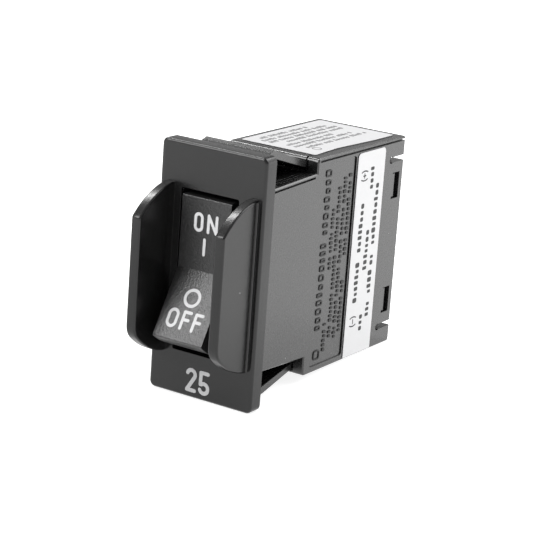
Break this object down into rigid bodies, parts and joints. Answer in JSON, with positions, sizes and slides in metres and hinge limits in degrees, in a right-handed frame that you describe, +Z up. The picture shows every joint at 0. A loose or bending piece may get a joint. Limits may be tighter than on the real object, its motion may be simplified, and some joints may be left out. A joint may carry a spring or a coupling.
{
  "type": "rocker circuit breaker",
  "caption": "Snap-in panel circuit breaker with a guarded rocker in a flat bezel, a stepped case, sprung latches, rear screw terminals, an arc chute, a trip coil and a contact mechanism.",
  "frame": {"origin": "centre of the panel cut-out, in the plane where the bezel's rear rim meets the panel's front face", "axes": "+Y runs back through the panel along the case, +Z is up the long side of the bezel towards the ON end of the rocker, +X is the side of the case cover and its label"},
  "size_m": [0.0242, 0.0639, 0.05],
  "materials": {
    "bezel_plastic": "fine-textured black moulding",
    "case_plastic": "satin black moulding",
    "rocker_plastic": "grained black moulding with printed white legends",
    "pin_steel": "plain drawn steel",
    "spring_steel": "drawn spring wire",
    "magnet_steel": "zinc-plated soft iron",
    "plated_steel": "bright zinc plate",
    "copper": "rolled copper",
    "brass": "drawn brass",
    "silver": "silver alloy contact",
    "enamelled_wire": "enamelled copper wire",
    "nylon": "natural nylon",
    "fibre_board": "vulcanised fibre",
    "magnet": "sintered ferrite",
    "label_stock": "white printed film"
  },
  "bodies": {
    "root": {"bezel": "bezel_plastic", "case_shell": "case_plastic", "case_cover": "case_plastic", "terminal_carrier": "case_plastic", "rocker_pin": "pin_steel", "arm_pin": "pin_steel", "arm_spring": "spring_steel", "fixed_contact": "silver", "line_terminal": "copper", "load_terminal": "copper", "arc_board_left": "fibre_board", "arc_board_right": "fibre_board", "arc_magnet": "magnet", "coil": "enamelled_wire", "bobbin": "nylon", "delay_tube": "brass", "core_spring": "spring_steel", "pole_piece": "magnet_steel", "yoke": "magnet_steel", "armature_pin": "pin_steel", "armature_spring": "spring_steel", "trip_pin": "pin_steel", "braid": "copper", "coil_lead": "enamelled_wire", "line_clamp": "plated_steel", "load_clamp": "plated_steel", "side_label": "label_stock", "top_label": "label_stock", "arc_plate_1": "magnet_steel", "arc_plate_2": "magnet_steel", "arc_plate_3": "magnet_steel", "arc_plate_4": "magnet_steel", "arc_plate_5": "magnet_steel", "arc_plate_6": "magnet_steel", "arc_plate_7": "magnet_steel"},
    "rocker": {"rocker": "rocker_plastic", "handle_link_pin": "pin_steel"},
    "link": {"link": "pin_steel"},
    "contact_arm": {"contact_arm": "copper", "moving_contact": "silver", "arm_link_pin": "pin_steel"},
    "armature": {"armature": "magnet_steel"},
    "trip_lever": {"trip_lever": "pin_steel"},
    "delay_core": {"delay_core": "magnet_steel"},
    "latch_top": {"latch_top": "case_plastic"},
    "latch_bottom": {"latch_bottom": "case_plastic"},
    "line_screw": {"line_screw": "plated_steel"},
    "load_screw": {"load_screw": "plated_steel"}
  },
  "joints": [
    {"name": "rocker_tilt", "type": "hinge", "parent": "root", "child": "rocker", "pos_m": [-0.00085, -0.00093, 0], "axis": [1, 0, 0], "range_deg": [0, 30.5]},
    {"name": "link_swing", "type": "hinge", "parent": "rocker", "child": "link", "pos_m": [-0.00085, 0.00727, -0.00224], "axis": [1, 0, 0], "range_deg": [-43, 0]},
    {"name": "arm_swing", "type": "hinge", "parent": "root", "child": "contact_arm", "pos_m": [-0.00085, 0.0275, -0.002], "axis": [1, 0, 0], "range_deg": [-19.4, 0]},
    {"name": "armature_swing", "type": "hinge", "parent": "root", "child": "armature", "pos_m": [-0.00085, 0.0216, 0.0016], "axis": [1, 0, 0], "range_deg": [-7, 0], "stiffness_Nm_per_rad": 0.003, "springref_deg": 11.46},
    {"name": "trip_lever_swing", "type": "hinge", "parent": "root", "child": "trip_lever", "pos_m": [-0.00085, 0.0145, 0.0046], "axis": [1, 0, 0], "range_deg": [0, 4]},
    {"name": "core_slide", "type": "slide", "parent": "root", "child": "delay_core", "axis": [0, -1, 0], "range_m": [0, 0.003], "stiffness_N_per_m": 20, "springref_m": -0.002, "deforming": ["core_spring"]},
    {"name": "latch_top_flex", "type": "hinge", "parent": "root", "child": "latch_top", "pos_m": [0, 0.0175, 0.01995], "axis": [1, 0, 0], "range_deg": [0, 11], "stiffness_Nm_per_rad": 0.3, "springref_deg": -2.86},
    {"name": "latch_bottom_flex", "type": "hinge", "parent": "root", "child": "latch_bottom", "pos_m": [0, 0.0175, -0.02085], "axis": [-1, 0, 0], "range_deg": [0, 11.2], "stiffness_Nm_per_rad": 0.3, "springref_deg": -2.86},
    {"name": "line_screw_turn", "type": "hinge", "parent": "root", "child": "line_screw", "pos_m": [-0.00085, 0.0481, -0.0142], "axis": [0, 1, 0], "continuous": true},
    {"name": "load_screw_turn", "type": "hinge", "parent": "root", "child": "load_screw", "pos_m": [-0.00085, 0.0481, 0.0137], "axis": [0, 1, 0], "continuous": true}
  ],
  "couplings": [
    {"joint": "arm_swing", "follows": "rocker_tilt", "ratio": -0.63568},
    {"joint": "link_swing", "follows": "rocker_tilt", "ratio": -1.4067},
    {"joint": "trip_lever_swing", "follows": "armature_swing", "ratio": -0.55}
  ]
}
